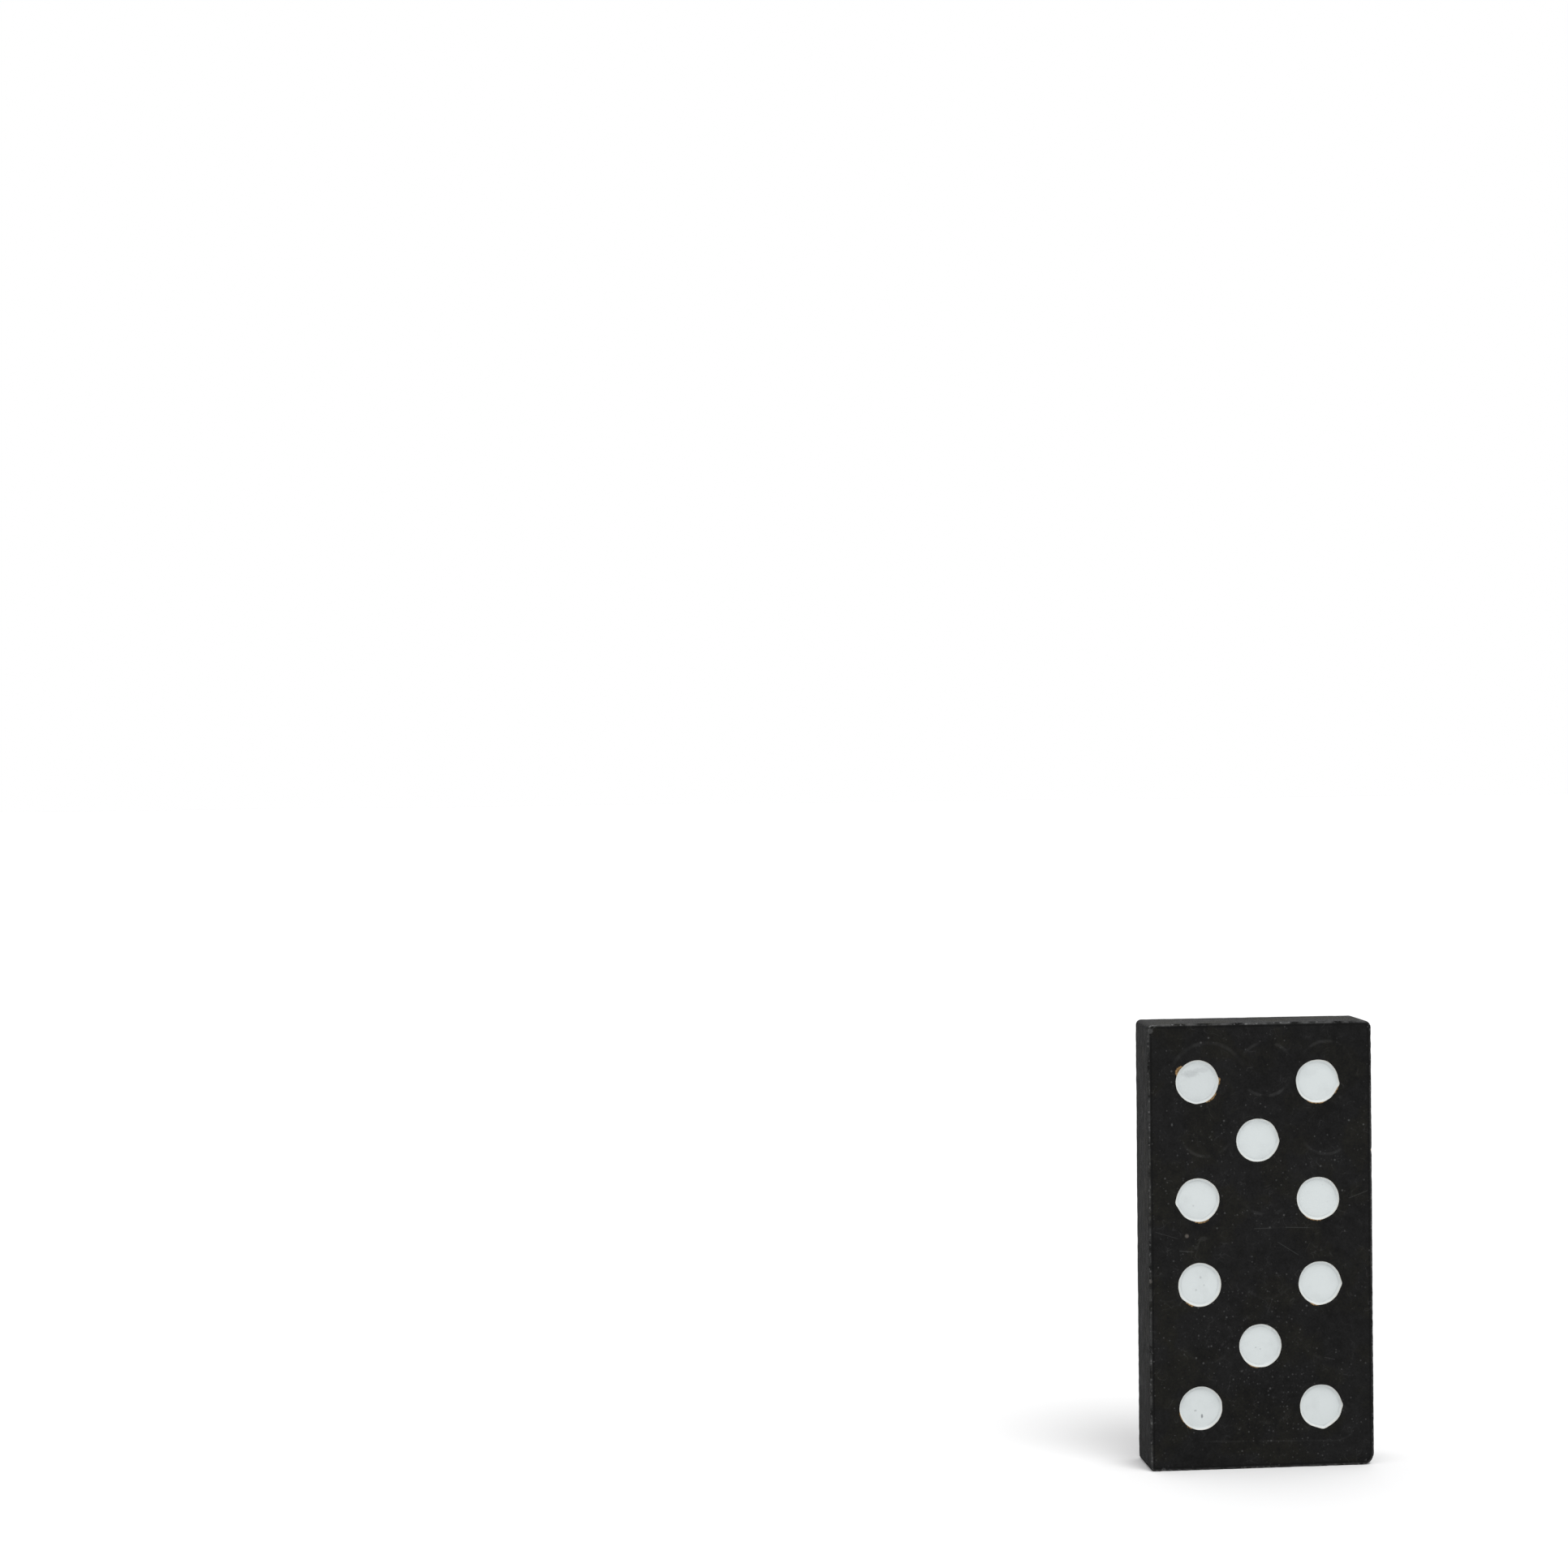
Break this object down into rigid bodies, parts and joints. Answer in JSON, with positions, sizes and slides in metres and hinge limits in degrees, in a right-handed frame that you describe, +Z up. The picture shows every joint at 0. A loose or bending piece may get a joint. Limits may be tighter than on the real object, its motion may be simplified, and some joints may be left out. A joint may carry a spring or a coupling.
{
  "type": "domino tile",
  "caption": "Flat black lacquered wooden domino tile with white pips painted in shallow round recesses, the same five-spot pattern in each half.",
  "frame": {"origin": "middle of the tile's footprint as it stands on its short end, level with the surface under it", "axes": "+Z up along the long side, +X across the width to the right as the pips are faced, and the pips face -Y"},
  "size_m": [0.02, 0.005, 0.0392],
  "materials": {
    "black_lacquer": "satin",
    "white_pip_paint": "satin"
  },
  "bodies": {
    "root": {"tile_body": "black_lacquer", "pip_upper_top_left": "white_pip_paint", "pip_upper_top_right": "white_pip_paint", "pip_upper_centre": "white_pip_paint", "pip_upper_bottom_left": "white_pip_paint", "pip_upper_bottom_right": "white_pip_paint", "pip_lower_top_left": "white_pip_paint", "pip_lower_top_right": "white_pip_paint", "pip_lower_centre": "white_pip_paint", "pip_lower_bottom_left": "white_pip_paint", "pip_lower_bottom_right": "white_pip_paint"}
  },
  "joints": []
}
